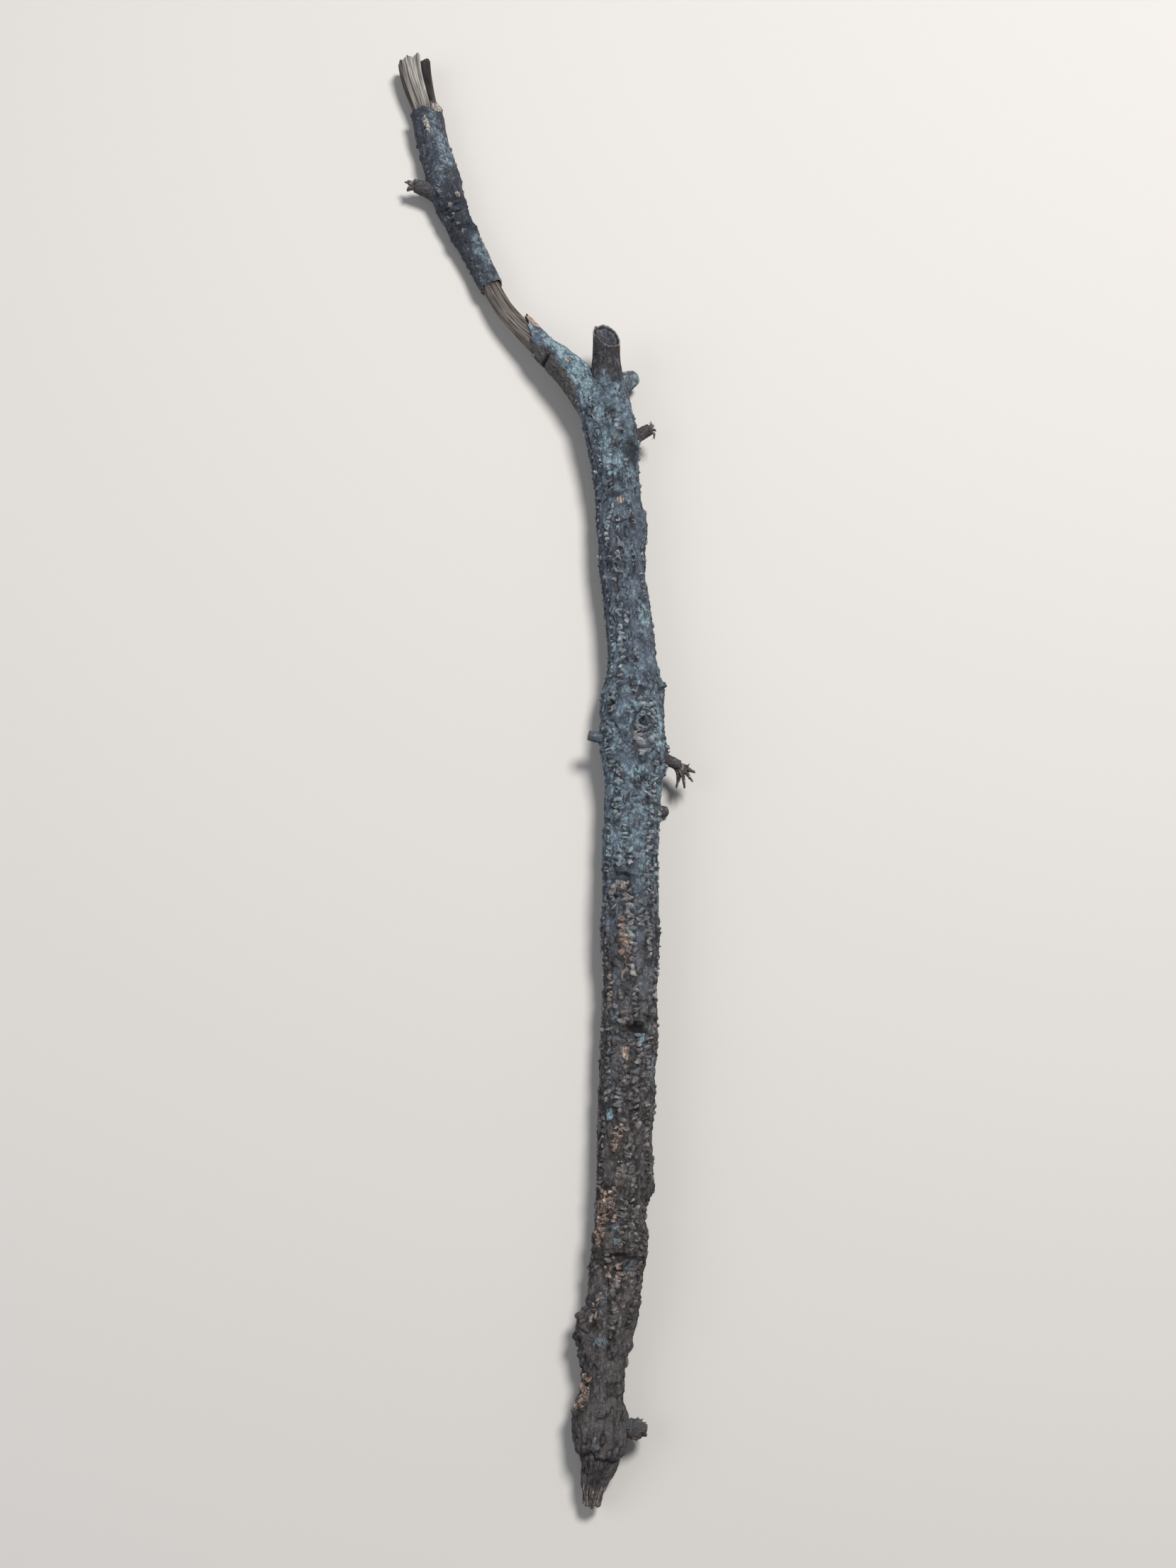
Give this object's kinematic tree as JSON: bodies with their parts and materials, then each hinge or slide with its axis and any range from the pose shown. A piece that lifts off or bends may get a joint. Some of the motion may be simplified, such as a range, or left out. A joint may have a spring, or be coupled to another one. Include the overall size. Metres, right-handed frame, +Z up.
{
  "type": "fallen tree branch",
  "caption": "Fallen tree branch lying down: a bent barked stem with lichen and knots, a fork with a snapped leader and a partly bare side limb, and broken twig stubs.",
  "frame": {"origin": "on the ground, under the middle of the branch's bounding box", "axes": "+Y runs along the branch from its foot to the snapped tip of the side limb, +Z is up from the ground, +X is the side opposite the side limb"},
  "size_m": [0.1872, 0.9046, 0.0403],
  "materials": {
    "bark": "rough grey-brown bark with pale corky lenticels and blue-green lichen",
    "limb_bark": "thin dark grey bark with bluish lichen",
    "bare_wood": "weathered bare wood with split lengthwise fibres",
    "twig_bark": "grey twig bark with frayed brown ends"
  },
  "bodies": {
    "root": {"main_stem": "bark", "side_limb": "bare_wood", "limb_bark": "limb_bark", "leader_stub": "limb_bark", "fork_spur": "twig_bark", "upper_twig": "twig_bark", "left_twig": "twig_bark", "frayed_twig": "twig_bark", "back_twig": "twig_bark", "foot_twig": "twig_bark", "limb_twig": "twig_bark"}
  },
  "joints": []
}
